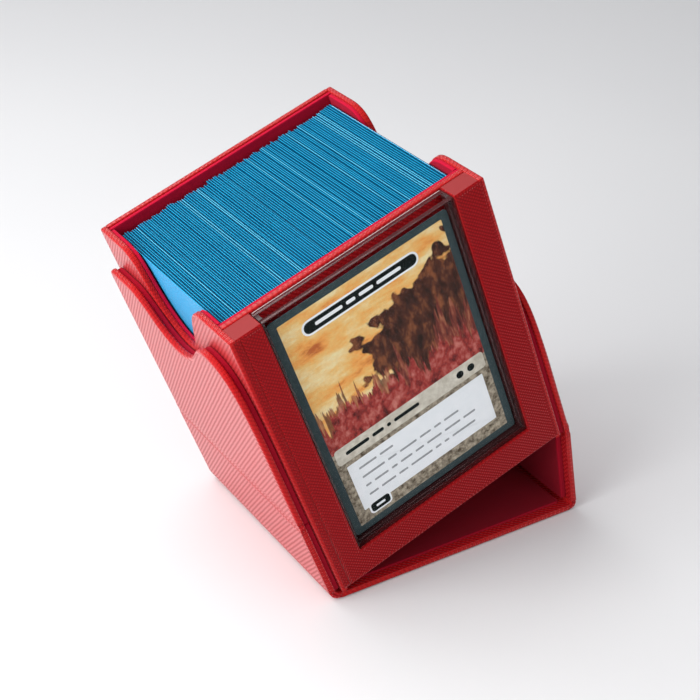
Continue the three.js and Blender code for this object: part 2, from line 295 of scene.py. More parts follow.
def inward_normals(p):
    """Mitred inward directions at the points of an anticlockwise outline."""
    before = p - np.roll(p, 1, 0)
    after = np.roll(p, -1, 0) - p

    def left(d):
        d = d / np.maximum(np.linalg.norm(d, axis=1, keepdims=True), 1e-9)
        return np.stack([-d[:, 1], d[:, 0]], 1)

    n0, n1 = left(before), left(after)
    middle = n0 + n1
    middle /= np.linalg.norm(middle, axis=1, keepdims=True)
    return middle / np.maximum(np.sum(middle * n1, axis=1, keepdims=True), 0.5)


def slab_rings(low, high, r_low, r_high, steps=4, support=0.35):
    """Rings from the low face to the high one: (inset, height, unrolled inset, rim, on an arc)."""
    turn = math.pi / 2
    wall = max(high - low - r_low - r_high, 0)
    rings = [(r_high + support, high, r_high + support, 0.0, False),
             (r_high, high, r_high, 0.6, True)]
    for a in (turn * k / steps for k in range(1, steps + 1)):
        rings.append((r_high * (1 - math.sin(a)), high - r_high * (1 - math.cos(a)),
                      r_high - r_high * a, 1.0, True))
    foot = r_high - r_high * turn - wall
    for a in (turn * k / steps for k in range(0 if wall > 1e-6 else 1, steps)):
        rings.append((r_low * (1 - math.cos(a)), low + r_low * (1 - math.sin(a)),
                      foot - r_low * a, 1.0, True))
    tail = foot - r_low * turn
    rings += [(r_low, low, tail, 0.6, True), (r_low + support, low, tail - support, 0.0, False)]
    return rings[::-1]


def arranged(p, q, h, plate):
    """Outline coordinates and height put in x, y, z order."""
    values = (p, q, h)
    return tuple(values[i] for i in plate)


# ---- materials ----
class Nodes:
    """A node material under construction; its methods return sockets."""

    def __init__(self, name):
        self.material = bpy.data.materials.new(name)
        self.material.use_nodes = True
        self.tree = self.material.node_tree
        self.shader = self.tree.nodes["Principled BSDF"]

    def node(self, kind, settings=None, **inputs):
        n = self.tree.nodes.new("ShaderNode" + kind)
        for key, value in (settings or {}).items():
            setattr(n, key, value)
        for key, value in inputs.items():
            self.put(n.inputs[int(key[1:]) if key[1:].isdigit() else key.replace("_", " ")], value)
        return n

    def put(self, socket, value):
        if isinstance(value, bpy.types.NodeSocket):
            self.tree.links.new(value, socket)
        elif isinstance(value, tuple) and len(value) == 3 and len(socket.default_value) == 4:
            socket.default_value = (*value, 1)
        else:
            socket.default_value = value

    def math(self, operation, a, b=0.0, clamp=False):
        n = self.node("Math", {"operation": operation, "use_clamp": clamp}, i0=a, i1=b)
        return n.outputs[0]

    def scaled(self, value, times, plus=0.0):
        n = self.node("Math", {"operation": "MULTIPLY_ADD"}, i0=value, i1=times, i2=plus)
        return n.outputs[0]

    def mix(self, factor, a, b):
        n = self.node("Mix", {"data_type": "RGBA"})
        for index, value in ((0, factor), (6, a), (7, b)):
            self.put(n.inputs[index], value)
        return n.outputs[2]

    def ramp(self, value, *stops):
        n = self.node("ValToRGB", None, Fac=value)
        while len(n.color_ramp.elements) < len(stops):
            n.color_ramp.elements.new(0.5)
        for element, (place, colour) in zip(n.color_ramp.elements, stops):
            element.position = place
            element.color = (*colour, 1) if isinstance(colour, tuple) else (colour,) * 3 + (1,)
        return n.outputs[0]

    def noise(self, per_mm, detail=3.0, rough=0.55, where=None):
        """Noise with per_mm waves a millimetre, over the object's own place or over `where`."""
        if where is None:
            where, scale = self.node("TexCoord").outputs["Object"], per_mm / MM
        else:
            scale = per_mm
        n = self.node("TexNoise", None, Vector=where, Scale=scale, Detail=detail, Roughness=rough)
        return n.outputs[0]

    def weave(self):
        """The weave coordinates in millimetres: (vector, u, v)."""
        vector = self.node("UVMap", {"uv_map": "Weave"}).outputs[0]
        split = self.node("SeparateXYZ", None, Vector=vector)
        return vector, split.outputs[0], split.outputs[1]

    def attribute(self, name):
        return self.node("Attribute", {"attribute_name": name}).outputs["Fac"]

    def bump(self, height, distance, strength):
        n = self.node("Bump", None, Strength=strength, Distance=distance * MM, Height=height)
        return n.outputs[0]

    def principled(self, **values):
        for key, value in values.items():
            self.put(self.shader.inputs[key.replace("_", " ")], value)
        return self.material


DOT_WAVE = 2 * math.pi / 0.9      # fine dots on the rims, one each 0.9 mm
TWILL_RED = (0.56, 0.012, 0.016)
# Painted shade: the colour of the hollows between the emboss's ribs.
GROOVE_SHADE_RED = (0.30, 0.004, 0.007)
# The rims' colour: partly the rubbed turned edges, partly painted highlight.
RIM_RED = (0.45, 0.013, 0.011)


def twill(name, pitch=1.25, relief=0.17, crossing=0.5, wear_and_highlight=1.0, red=TWILL_RED,
          groove_shade=GROOVE_SHADE_RED):
    """Synthetic leather embossed with diagonal ribs and a weaker crossing set; the hollows between
    the ribs are coloured darker as painted shade. Its rims carry finer dots and turn lighter and
    more
    orange: partly the rubbed turned edges, partly painted highlight, the dots coloured as painted
    glints."""
    n = Nodes(name)
    vector, u, v = n.weave()
    sway = n.math("MULTIPLY", n.math("SUBTRACT", n.noise(0.25, 2, where=vector), 0.5), 0.4)
    wave = 2 * math.pi / (math.sqrt(2) * pitch)
    along = n.math("SINE", n.math("MULTIPLY", n.math("ADD", n.math("ADD", u, v), sway), wave))
    across = n.math("SINE", n.math("MULTIPLY", n.math("SUBTRACT", u, v), wave))
    rib = n.scaled(along, 0.5, 0.5)
    scale = n.math("MULTIPLY", rib, n.scaled(across, crossing / 2, 1 - crossing / 2))
    grain = n.noise(6.0, 3, 0.6, where=vector)
    patches = n.noise(0.03, 3, 0.5)
    rim = n.attribute("rim")
    dots = n.math("MULTIPLY", n.math("SINE", n.scaled(u, DOT_WAVE)),
                  n.math("SINE", n.scaled(v, DOT_WAVE)))
    dots = n.math("MULTIPLY", n.scaled(dots, 0.5, 0.5), n.scaled(rim, 0.5))
    flatter = n.scaled(rim, -0.85, 1.0)
    height = n.math("ADD", n.math("MULTIPLY", scale, flatter), n.scaled(grain, 0.14))
    height = n.math("ADD", height, dots)
    # Painted shade: the hollows between the ribs take the darker colour.
    colour = n.mix(n.math("POWER", scale, 0.7), groove_shade, red)
    # Rims turn towards the rim colour, more so on the dots: partly rubbed turned edges, partly
    # painted highlight, the dots being painted glints.
    rubbed_and_lit = n.math("MULTIPLY", rim, n.scaled(n.math("ADD", scale, dots), 0.35 * wear_and_highlight, 0.25 * wear_and_highlight))
    colour = n.mix(rubbed_and_lit, colour, RIM_RED)
    colour = n.mix(n.math("MULTIPLY", patches, 0.16), colour, (0.30, 0.004, 0.010))
    rough = n.math("ADD", n.scaled(grain, 0.16), n.scaled(scale, -0.12, 0.46))
    normal = n.bump(height, relief, 0.9)
    graze = n.node("LayerWeight", None, Blend=0.5, Normal=normal).outputs["Facing"]
    gloss = n.math("MULTIPLY", n.ramp(graze, (0.44, 0.0), (0.70, 1.0)),
                   n.scaled(scale, 0.6, 0.4))
    return n.principled(Base_Color=colour, Roughness=rough, Normal=normal, IOR=1.17,
                        Coat_Weight=gloss, Coat_Roughness=0.34, Coat_IOR=3.4,
                        Sheen_Weight=0.03, Sheen_Roughness=0.35, Sheen_Tint=(1.0, 0.75, 0.75))


def smooth_leather(name):
    """The covering's plain side, with a fine grain."""
    n = Nodes(name)
    grain = n.noise(3.0, 4, 0.6)
    colour = n.mix(grain, (0.24, 0.014, 0.015), (0.31, 0.024, 0.025))
    return n.principled(Base_Color=colour, Roughness=n.scaled(grain, 0.2, 0.42),
                        Normal=n.bump(grain, 0.05, 0.5), IOR=1.35)


def microfibre(name, dark, light):
    """A soft napped lining, cloudy where it has been brushed and lighter at its rims."""
    n = Nodes(name)
    fine, clouds = n.noise(5.0, 4, 0.7), n.noise(0.12, 3, 0.6)
    colour = n.mix(fine, dark, light)
    colour = n.mix(n.scaled(clouds, 0.45), colour, dark)
    colour = n.mix(n.scaled(n.attribute("rim"), 0.8), colour, light)
    return n.principled(Base_Color=colour, Roughness=n.scaled(fine, 0.15, 0.85),
                        Normal=n.bump(fine, 0.12, 0.7), Sheen_Weight=0.12, Sheen_Roughness=0.5,
                        Sheen_Tint=(1.0, 0.3, 0.4), Specular_IOR_Level=0.1)


def clear_plastic(name, dark, light, alpha, rough=0.06):
    """Clear plastic, a thin veil over what is behind it; darker and nearly opaque it paints shade
    on the case's edges and rails, and pale it paints a highlight along its back plate.
    """
    n = Nodes(name)
    smear = n.noise(0.15, 4, 0.6)
    return n.principled(Base_Color=n.mix(smear, dark, light), Alpha=alpha, IOR=1.49,
                        Roughness=n.scaled(smear, 0.08, rough))


def sleeve_film(name, dark, light):
    """A card sleeve's coloured film."""
    n = Nodes(name)
    brushed, clouds = n.noise(1.2, 3, 0.6), n.noise(0.07, 2, 0.5)
    return n.principled(Base_Color=n.mix(clouds, dark, light), IOR=1.2,
                        Roughness=n.scaled(brushed, 0.25, 0.25), Normal=n.bump(brushed, 0.03, 0.5))


def paper(name, light, dark, per_mm=1.0, rough=0.5, relief=0.02, ior=1.4):
    """Printed or plain card: two tones mixed by noise."""
    n = Nodes(name)
    tone = n.noise(per_mm, 5, 0.65)
    colour = n.mix(n.ramp(tone, (0.35, 0.0), (0.65, 1.0)), dark, light)
    return n.principled(Base_Color=colour, Roughness=n.scaled(tone, 0.15, rough), IOR=ior,
                        Normal=n.bump(tone, relief, 0.4))


def nickel(name):
    """The magnets' plating."""
    n = Nodes(name)
    brushed = n.noise(4.0, 4, 0.7)
    return n.principled(Base_Color=n.mix(brushed, (0.55, 0.54, 0.52), (0.75, 0.74, 0.72)),
                        Roughness=n.scaled(brushed, 0.2, 0.22),
                        Normal=n.bump(brushed, 0.01, 0.3), Metallic=1.0)


def picture(name):
    """A painted sunset: drifting clouds, a dark crag, spires and a red plain in front."""
    n = Nodes(name)
    vector, u, v = n.weave()

    def strokes(scale_u, scale_v, turn=0.0, detail=6, rough=0.65):
        place = n.node("Mapping", None, Vector=vector, Scale=(scale_u, scale_v, 1.0),
                       Rotation=(0, 0, turn))
        return n.noise(1.0, detail, rough, where=place.outputs[0])

    def below(line, value, blur=1.0):
        return n.math("DIVIDE", n.math("SUBTRACT", line, value), blur, clamp=True)

    rocks, brush = strokes(0.12, 0.12, 0.0, 2.5, 0.5), strokes(1.2, 0.6, 0.5)
    sky = n.ramp(strokes(0.045, 0.11, -0.35), (0.32, (0.60, 0.15, 0.04)),
                 (0.41, (0.98, 0.42, 0.10)), (0.50, (0.98, 0.60, 0.20)),
                 (0.62, (1.00, 0.84, 0.46)))
    stone = n.ramp(strokes(0.30, 0.14, 0.6), (0.36, (0.010, 0.008, 0.008)),
                   (0.50, (0.07, 0.024, 0.016)), (0.66, (0.30, 0.10, 0.04)))
    umber = n.ramp(strokes(0.5, 0.1, 0.1), (0.34, (0.05, 0.012, 0.014)),
                   (0.52, (0.26, 0.055, 0.040)), (0.68, (0.62, 0.26, 0.13)))
    reds = n.ramp(strokes(0.35, 0.22, -0.3), (0.34, (0.07, 0.010, 0.012)),
                  (0.50, (0.40, 0.045, 0.040)), (0.66, (0.66, 0.22, 0.18)))
    edge = n.scaled(rocks, 46.0, -23.0)
    crag_side = n.math("ADD", n.math("SUBTRACT", u, n.scaled(v, -0.30, 57.0)), edge)
    crag_top = n.math("SUBTRACT", n.math("ADD", n.scaled(u, 0.42, 62.0), edge), v)
    crag = below(n.math("MINIMUM", crag_side, crag_top), 0.0, 1.6)
    spires = below(n.scaled(strokes(0.14, 0.012, 0.06, 4), 90.0, 16.0), v, 1.2)
    skyline = below(n.scaled(strokes(0.40, 0.03, 0.0, 5), 40.0, 38.0), v, 1.0)
    colour = n.mix(crag, sky, stone)
    colour = n.mix(n.math("MULTIPLY", spires, 0.85), colour, umber)
    colour = n.mix(skyline, colour, reds)
    colour = n.mix(n.math("MULTIPLY", brush, 0.25), colour, (0.10, 0.035, 0.020))
    return n.principled(Base_Color=colour, Roughness=n.scaled(brush, 0.15, 0.3), IOR=1.2,
                        Normal=n.bump(brush, 0.012, 0.4))


def studio_floor(name):
    """The stage's pale, faintly uneven paint."""
    n = Nodes(name)
    tone = n.noise(0.004, 2, 0.4)
    return n.principled(Base_Color=n.mix(tone, (0.775, 0.775, 0.785), (0.815, 0.815, 0.82)),
                        Roughness=n.scaled(tone, 0.1, 0.6), Specular_IOR_Level=0.2)


TWILL = twill("twill_leather")
# A finer twill in darker colours, with less lightening at its rims: painted shade on the front
# panel and stiles, which get less light than the walls.
FINE_SHADED_TWILL = twill("fine_twill_leather_painted_shade", pitch=0.95, relief=0.09, crossing=0.9, wear_and_highlight=0.35,
                   red=(0.41, 0.006, 0.009), groove_shade=(0.18, 0.002, 0.004))
SMOOTH = smooth_leather("smooth_leather")
LINING = microfibre("crimson_microfibre", (0.25, 0.001, 0.013), (0.50, 0.004, 0.030))
# A darker copy of the crimson lining: painted shade for the linings inside the stand.
SHADED_LINING = microfibre("crimson_microfibre_painted_shade", (0.15, 0.001, 0.006), (0.33, 0.002, 0.015))
CLEAR = clear_plastic("clear_plastic", (0.020, 0.010, 0.011), (0.040, 0.020, 0.021), 0.02)
# Painted shade: the clear plates' rounded edges coloured dark and nearly opaque, for the dark line
# that a clear edge shows.
SHADED_CLEAR_EDGE = clear_plastic("clear_plastic_edge_painted_shade", (0.030, 0.004, 0.005), (0.090, 0.014, 0.015), 0.8)
# Painted highlight: the pale strip along the back plate's top.
CASE_GLINT_STRIP = clear_plastic("case_top_painted_highlight", (0.55, 0.42, 0.42), (0.75, 0.64, 0.64), 0.85, 0.15)
# Painted shade: the rails coloured dark and nearly opaque, for the dark that the case's sides show.
SHADED_RAIL = clear_plastic("rail_painted_shade", (0.022, 0.006, 0.007), (0.060, 0.014, 0.015), 0.92, 0.2)
# The films below: the first is a darker copy of the sleeves' blue, painted shade on the film faces
# and in the gaps; the mid one is about the blue itself; the bright one is a lighter copy, a painted
# highlight on some sleeves' top edges; the face film is the outermost sleeve's side.
FILM = sleeve_film("blue_film", (0.001, 0.080, 0.18), (0.001, 0.11, 0.24))
MID_FILM = sleeve_film("mid_blue_film", (0.008, 0.31, 0.56), (0.012, 0.37, 0.63))
BRIGHT_HIGHLIGHT_FILM = sleeve_film("bright_blue_film_painted_highlight", (0.07, 0.50, 0.76), (0.11, 0.57, 0.82))
FACE_FILM = sleeve_film("face_blue_film", (0.03, 0.29, 0.55), (0.05, 0.35, 0.61))
# Painted shade: the cards' tops inside the sleeves coloured dark blue, for the shade deep in the
# slots; the last card shows the white of a card's top.
SHADED_CARD_EDGE = paper("card_edge_painted_shade", (0.001, 0.05, 0.10), (0.001, 0.025, 0.05), 2.0)
WHITE_CARD = paper("white_card", (0.80, 0.86, 0.90), (0.70, 0.78, 0.84), 0.4)
BORDER = paper("slate_border", (0.056, 0.082, 0.088), (0.040, 0.062, 0.068), 0.6, 0.3, 0.01, 1.06)
STONE = paper("printed_stone", (0.50, 0.44, 0.34), (0.085, 0.065, 0.045), 0.55, 0.35, 0.01, 1.06)
BAR = paper("printed_bar", (0.74, 0.71, 0.62), (0.50, 0.46, 0.38), 0.35, 0.35, 0.01, 1.06)
INK = paper("printed_ink", (0.014, 0.020, 0.020), (0.008, 0.011, 0.011), 0.6, 0.3, 0.01, 1.06)
PANEL_WHITE = paper("printed_white", (0.90, 0.93, 0.96), (0.85, 0.89, 0.92), 0.25, 0.35, 0.01, 1.06)
LETTERING = paper("printed_grey", (0.42, 0.44, 0.46), (0.30, 0.32, 0.34), 1.0, 0.35, 0.01, 1.06)
PICTURE = picture("printed_picture")
NICKEL = nickel("nickel")


# ---- pieces ----
def finished(piece, slot, *nodes):
    """The piece, after hiding the CAD nodes that it stands for; slot is not used."""
    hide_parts(*nodes)
    return piece


def cover_piece(shape, name, place, body, *nodes, materials=(TWILL, SMOOTH)):
    piece = shape.build(name, place, materials, body)
    return finished(piece, "cover_red", *nodes)


def lining_piece(shape, name, place, body, *nodes, materials=(LINING,)):
    piece = shape.build(name, place, materials, body)
    return finished(piece, "lining_crimson", *nodes)


EDGE = 0.85           # rounding of a covered board's outer edges
TURN_IN = 0.45        # and of its inner edges
SQUARE = 0.22         # share of the rounding that is left where a board meets a bend
LINING_INSET = 0.8    # from an upper wall's outline to its lining's
FOOT = 2.4            # straight start of an upper wall's front and rear edges
FLUSH = 1.19          # a tray lining's thickness, flush with the board beside it


def build_stand():
    """The cover turned over as a stand: its floor and walls, and their linings."""
    floor = rectangle(HINGE_GAP, STAND_FRONT, FLOOR_W - HINGE_GAP, STAND_BACK)
    square = [SQUARE] * 4
    cover_piece(Shape().slab(floor, 0, BOARD, FLOOR_PLATE, EDGE, TURN_IN, square), "floor_board",
                GROUND, "stand_floor", "stand_floor_board")
    margin, left_start, right_end, lining_top = 3, 4.4, FLOOR_W - 5.6, STAND_WALL - 0.7
    lined = rectangle(left_start, STAND_FRONT + margin, right_end, STAND_BACK - margin)
    # The stand's linings take the darker lining copy: painted shade inside its wedge.
    lining_piece(Shape().slab(rounded(lined, 1), BOARD, lining_top, FLOOR_PLATE, 0.2, 0.3),
                 "floor_lining", GROUND, "stand_floor", "stand_floor_lining",
                 materials=[SHADED_LINING])

    lower = rectangle(STAND_FRONT, HINGE_GAP, STAND_BACK, FOLD - CREASE_GAP)
    upper = cover_wall_outline(FOLD + CREASE_GAP, FOOT)
    soft = [SQUARE if z < FOLD + CREASE_GAP + 0.3 else 1.0 for _, z in upper]
    nap = 0.4                    # how far the linings stand past the CAD's
    # Side, its two places, its lower body, its inward sign; its lower lining's distance from the
    # front and rear edges, half gap at the crease and start above the floor.
    walls = (("left_wall", LEANING, LEANING, "left_wall_lower", 1, 0.7, 0.1, 2.0),
             ("right_wall", FLAP, FOLDED, "right_flap", -1, 2.8, 0.4, 3.9))
    for side, low_place, high_place, low_body, inwards, margin, gap, start in walls:
        lining = rounded(rectangle(STAND_FRONT + margin, start, STAND_BACK - margin, FOLD - gap), 1)
        inner = inset_outline(cover_wall_outline(FOLD + gap - LINING_INSET, FOOT), LINING_INSET)
        thick = sorted((0, inwards * BOARD))
        lined = sorted((inwards * BOARD, inwards * (STAND_WALL + nap)))
        radii = (EDGE, TURN_IN) if inwards > 0 else (TURN_IN, EDGE)
        soft_radii = (0.2, 0.5) if inwards > 0 else (0.5, 0.2)
        cover_piece(Shape().slab(lower, *thick, SIDE_PLATE, *radii, square), f"{side}_lower",
                    low_place, low_body, f"{low_body}_board")
        lining_piece(Shape().slab(lining, *lined, SIDE_PLATE, *soft_radii),
                     f"{side}_lower_lining_pad", low_place, low_body, f"{low_body}_lining",
                     materials=[SHADED_LINING])
        cover_piece(Shape().slab(upper, *thick, SIDE_PLATE, *radii, soft), f"{side}_upper",
                    high_place, f"{side}_upper", f"{side}_upper_board")
        lining_piece(Shape().slab(inner, *lined, SIDE_PLATE, *soft_radii),
                     f"{side}_upper_lining_pad", high_place, f"{side}_upper",
                     f"{side}_upper_lining", materials=[SHADED_LINING])


def inset_outline(points, distance):
    """The outline moved inwards, anticlockwise."""
    p = np.array(points, float)
    if area2(points) < 0:
        p = p[::-1]
    return (p + inward_normals(p) * distance).tolist()


def corner_curve(start, corner, end, pull):
    """A curve from start to end that leans towards the corner between them."""
    handle_a, handle_b = start + (corner - start) * pull, end + (corner - end) * pull
    return [start.tolist()] + bezier(start, handle_a, handle_b, end, 16)


def bend_skin(name, node, corner, before, after, side, reach, weave_start):
    """The cover's skin round a corner, from one board's end to the next board's. before and after
    point from the corner along the two boards; side is the sign that turns them inwards."""
    corner, before, after = (np.array(v, float) for v in (corner, before, after))
    lap, outer_dip, corner_dip = 0.4, 0.02, 0.25
    start, end = corner + before * (reach + lap), corner + after * (reach + lap)
    inward_a = side * np.array([before[1], -before[0]])
    inward_b = side * np.array([-after[1], after[0]])
    mitre = (inward_a + inward_b) / (1 + inward_a @ inward_b)
    outer = corner_curve(start + inward_a * outer_dip, corner + mitre * corner_dip,
                         end + inward_b * outer_dip, 0.80 if reach > 2 else 0.5)
    thick = BOARD - 0.05
    inner = corner_curve(start + inward_a * thick, corner + mitre * thick, end + inward_b * thick,
                         0.6)
    outline = outer + inner[::-1]
    direction = 1 if area2(outline) > 0 else -1
    shape = Shape().slab(outline, STAND_FRONT, STAND_BACK, FRONT_PLATE, 0.3, 0.3,
                         wall_uv=(weave_start, direction))
    piece = shape.build(name, GROUND, [TWILL, SMOOTH], smooth=60)
    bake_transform(piece)
    return finished(piece, "cover_red", node)


def build_bends():
    """The four strips of skin: two at the floor's edges, two at the walls' creases."""
    up_box = np.array((-math.sin(LEAN), math.cos(LEAN)))
    up_flap = np.array((-math.sin(LEAN / 2), math.cos(LEAN / 2)))
    left_top = up_box * FOLD
    right_top = np.array((FLOOR_W, 0)) + up_flap * FOLD
    bend_skin("left_floor_bend", "left_floor_hinge", (0, 0), (1, 0), up_box, -1, HINGE_GAP,
              0)
    bend_skin("right_floor_bend", "right_floor_hinge", (FLOOR_W, 0), (-1, 0), up_flap, 1,
              HINGE_GAP, 0)
    bend_skin("left_crease_bend", "left_crease_hinge", left_top, -up_box, up_box, -1,
              CREASE_GAP, FOLD - CREASE_GAP)
    bend_skin("right_crease_bend", "right_crease_hinge", right_top, -up_flap, up_box, 1,
              CREASE_GAP, FOLD - CREASE_GAP)


def build_box():
    """The tray: side shells that run on to the front face, front, back and floor boards."""
    body = "deck_box"
    side = box_side_outline(0.0, BOX_D, 0.0, BOX_H)
    for name, low, radii in (("left", 0, (0.6, 0.4)), ("right", BOX_W - BOARD, (0.4, 0.6))):
        cover_piece(Shape().slab(side, low, low + BOARD, SIDE_PLATE, *radii), f"box_{name}_shell",
                    BOX, body, f"box_{name}_board")
    x0, x1 = BOARD, BOX_W - BOARD
    back = rectangle(x0, 0.4, x1, BOX_H)
    cover_piece(Shape().slab(back, BOX_D - BOARD, BOX_D, FRONT_PLATE, 0.35, 0.5,
                             [0.1, 0.1, 1, 1]), "box_back_wall", BOX, body, "box_back_board")
    front, front_back = rectangle(x0, 2, x1, BOX_H), FRAME_D + 2.35
    cover_piece(Shape().slab(front, FRAME_D + 0.1, front_back, FRONT_PLATE, TURN_IN, 0.6,
                             [0.3, 0.3, 1, 1]), "box_front_wall", BOX, body, "box_front_board")
    under = rectangle(x0, 2, x1, BOX_D - BOARD)
    cover_piece(Shape().slab(under, 0.05, BOARD, FLOOR_PLATE, 0.3, 0.3), "box_underside", BOX,
                body, "box_floor_board")

    lip, touch = BOX_H - 0.45, 0.01
    wall = rectangle(x0, BOARD, x1, lip)
    for name, y in (("front", front_back + touch), ("back", INNER_BACK + GAP)):
        lining_piece(Shape().slab(wall, y, y + FLUSH, FRONT_PLATE, 0.25, 0.25), f"{name}_lining",
                     BOX, body, f"box_{name}_lining")
    lined = box_side_outline(INNER_FRONT, INNER_BACK, BOARD, lip)
    for name, x in (("left", BOARD + touch), ("right", BOX_W - BOX_WALL)):
        lining_piece(Shape().slab(lined, x, x + FLUSH, SIDE_PLATE, 0.25, 0.25), f"{name}_lining",
                     BOX, body, f"box_{name}_lining")


def build_pad():
    """The raised floor of the tray: a padded rest with a slight crown."""
    inner = rounded(rectangle(BOX_WALL + GAP, INNER_FRONT, BOX_W - BOX_WALL - GAP, INNER_BACK), 2)
    shape = Shape().slab(inner, BOARD + GAP, PAD_TOP - 0.4, FLOOR_PLATE, 0.8, 1.8)
    pad = lining_piece(shape, "floor_rest", BOX, "deck_box", "box_floor_pad")


def build_display():
    """The U-shaped front panel on its stiles and sill."""
    body = "deck_box"
    x0, x1 = STILE, BOX_W - STILE
    wrap, seam = 3.3, 0.06       # how far the side covering turns on to the face, and its joint
    rim, low, top = 0.95, 0.9, BOX_H - 0.45
    left, right = wrap + seam, BOX_W - rim
    face, thick = -0.01, 0.6
    panel = [(left, low), (right, low), (right, top), (x1, top), (x1, RAIL), (x0, RAIL),
             (x0, top), (left, top)]
    soft = [0.25, 0.25, 0.25, 0.6, 1, 1, 0.6, 0.25]
    shape = Shape().slab(panel, face, thick, FRONT_PLATE, 0.5, 0.1, soft)
    shape.slab(rectangle(rim, low, wrap, top), face, thick, FRONT_PLATE, 0.14, 0.05)
    # The panel, like the stiles below, takes the darker twill copy: painted shade.
    cover_piece(shape, "display_panel", BOX, body, "display_frame", materials=[FINE_SHADED_TWILL])
    tuck = 0.6                   # how far a stile reaches into its side board
    for name, start, end in (("left", BOARD - tuck, x0 - 0.05),
                             ("right", x1 + 0.05, BOX_W - BOARD + tuck)):
        stile = rectangle(start, 0.2, end, FRAME_D)
        shape = Shape().slab(stile, 1, BOX_H - 0.12, FLOOR_PLATE, 0.3, 0.3, high_mark=1)
        cover_piece(shape, f"{name}_stile", BOX, body, f"display_spacer_{name}",
                    materials=[FINE_SHADED_TWILL, SMOOTH])
    sill = rectangle(x0 - 0.3, 0.3, x1 + 0.3, FRAME_D)
    cover_piece(Shape().slab(sill, 0.6, RAIL - 0.05, FLOOR_PLATE, 0.3, 0.3), "bottom_sill", BOX,
                body, "display_sill")


def build_case():
    """The clear case: front window, back plate and rails with rounded edges; the plates' edges are
    coloured dark as painted shade, the rails dark as painted shade, and a pale strip along the back
    plate's top is a painted highlight.
    """
    left, right = STILE + GAP, BOX_W - STILE - GAP
    bottom, top = RAIL + GAP, CASE_TOP
    window, back = (0.6, 2.4), (5.3, 7.1)     # y of each plate's two faces
    rail, joint, bottom_rail_top, edge = 1.25, 0.02, 12.4, 0.22
    materials = [CLEAR, SHADED_CLEAR_EDGE, CASE_GLINT_STRIP]
    for name, (y0, y1), node in (("case_window", window, "case_front_window"),
                                 ("case_back", back, "case_back_plate")):
        shape = Shape().slab(rectangle(left, bottom, right, top), y0, y1, FRONT_PLATE, edge, edge,
                             edge_mark=materials.index(SHADED_CLEAR_EDGE))
        if name == "case_back":
            # A painted highlight: a pale strip along its top, for the glint on that edge.
            shape.brick((left + 0.3, y1 - 0.22, top - 0.1), (right - 0.3, y1 - 0.02, top + 0.03),
                        mark=materials.index(CASE_GLINT_STRIP))
        piece = shape.build(name, BOX, materials, "card_case", smooth=50)
        finished(piece, "clear_case", node)
    rails = (("left", rectangle(left, bottom, left + rail, top)),
             ("right", rectangle(right - rail, bottom, right, top)),
             ("bottom", rectangle(left + rail + joint, bottom, right - rail - joint,
                                  bottom_rail_top)))
    for name, outline in rails:
        shape = Shape().slab(outline, window[1] + 0.01, back[0] - 0.01, FRONT_PLATE, edge, edge)
        piece = shape.build(f"case_{name}_rail", BOX, [SHADED_RAIL], "card_case", smooth=50)
        finished(piece, "clear_case", f"case_rail_{name}")


CARD_MATERIALS = [BORDER, STONE, PICTURE, BAR, PANEL_WHITE, INK, LETTERING]
IN_BORDER, IN_STONE, IN_PICTURE, IN_BAR, IN_WHITE, IN_INK, IN_GREY = range(len(CARD_MATERIALS))


def dashes(left, bottom, height, widths, level, mark):
    """A row of rounded bars as card layers, with a gap after each."""
    gap = 1.3
    starts = [left + sum(widths[:i]) + gap * i for i in range(len(widths))]
    return [(x, bottom, x + wide, bottom + height, height * 0.4, level, mark)
            for x, wide in zip(starts, widths)]


def build_display_card():
    """A generic printed card: slate border, painted picture, blank bar, text panel and pills."""
    x, z = (BOX_W - CARD_W) / 2, CARD_BOTTOM
    face, back, layer = 3.78, 4.15, 0.03      # y of the card's two faces; thickness of a print
    shape = Shape().slab(rounded(rectangle(x, z, x + CARD_W, z + CARD_H), 1.2), face, back,
                         FRONT_PLATE, 0.03, 0.03, mark=IN_BORDER)
    prints = [  # left, bottom, right, top on the card, corner radius, layer, material
        (2.6, 2.6, 60.4, 36.5, 0.4, 1, IN_STONE),
        (2.6, 33.5, 60.4, 85.6, 0.4, 2, IN_PICTURE),
        (3.4, 28.4, 59.6, 34.6, 1.2, 3, IN_BAR),
        (5.6, 7.4, 57.4, 26.6, 0.3, 3, IN_WHITE),
        (9.0, 76.6, 50.0, 82.0, 2.6, 3, IN_WHITE),
        (9.7, 77.3, 49.3, 81.3, 1.9, 4, IN_INK),
        (7.2, 4.0, 15.4, 8.6, 1.4, 4, IN_WHITE),
        (7.8, 4.6, 14.8, 8.0, 1.0, 5, IN_INK),
        (49.0, 30.2, 51.6, 32.8, 1.2, 4, IN_INK),
        (53.2, 30.2, 55.8, 32.8, 1.2, 4, IN_INK),
        (9.6, 5.8, 13.0, 6.7, 0.4, 6, IN_WHITE),
    ]
    # Rows of plain dashes where a printed card has its wording.
    prints += dashes(13.5, 78.7, 1.2, (9.5, 3.2, 5.0, 8.6), 5, IN_WHITE)
    prints += dashes(7.0, 30.8, 1.3, (8.6, 4.2, 1.4, 9.4), 4, IN_INK)
    rows = [(22.9, (6.5, 5.0)),               # bottom of the row, lengths of its dashes
            (19.1, (8.4, 3.2, 6.4, 4.2, 2.6, 5.6)),
            (15.3, (2.0, 5.2, 2.2, 4.4, 3.2, 5.6, 6.0, 4.6)),
            (11.5, (3.4, 5.4, 3.4, 8.2, 2.2, 1.8, 9.0))]
    for bottom, widths in rows:
        prints += dashes(9.0, bottom, 0.8, widths, 4, IN_GREY)
    for x0, z0, x1, z1, radius, level, mark in prints:
        outline = rounded(rectangle(x + x0, z + z0, x + x1, z + z1), radius)
        shape.slab(outline, face - layer * level, face + 0.02, FRONT_PLATE, 0.01, 0.001, mark=mark)
    card = shape.build("display_card_print", BOX, CARD_MATERIALS, "display_card")
    finished(card, "card_print", "display_card")


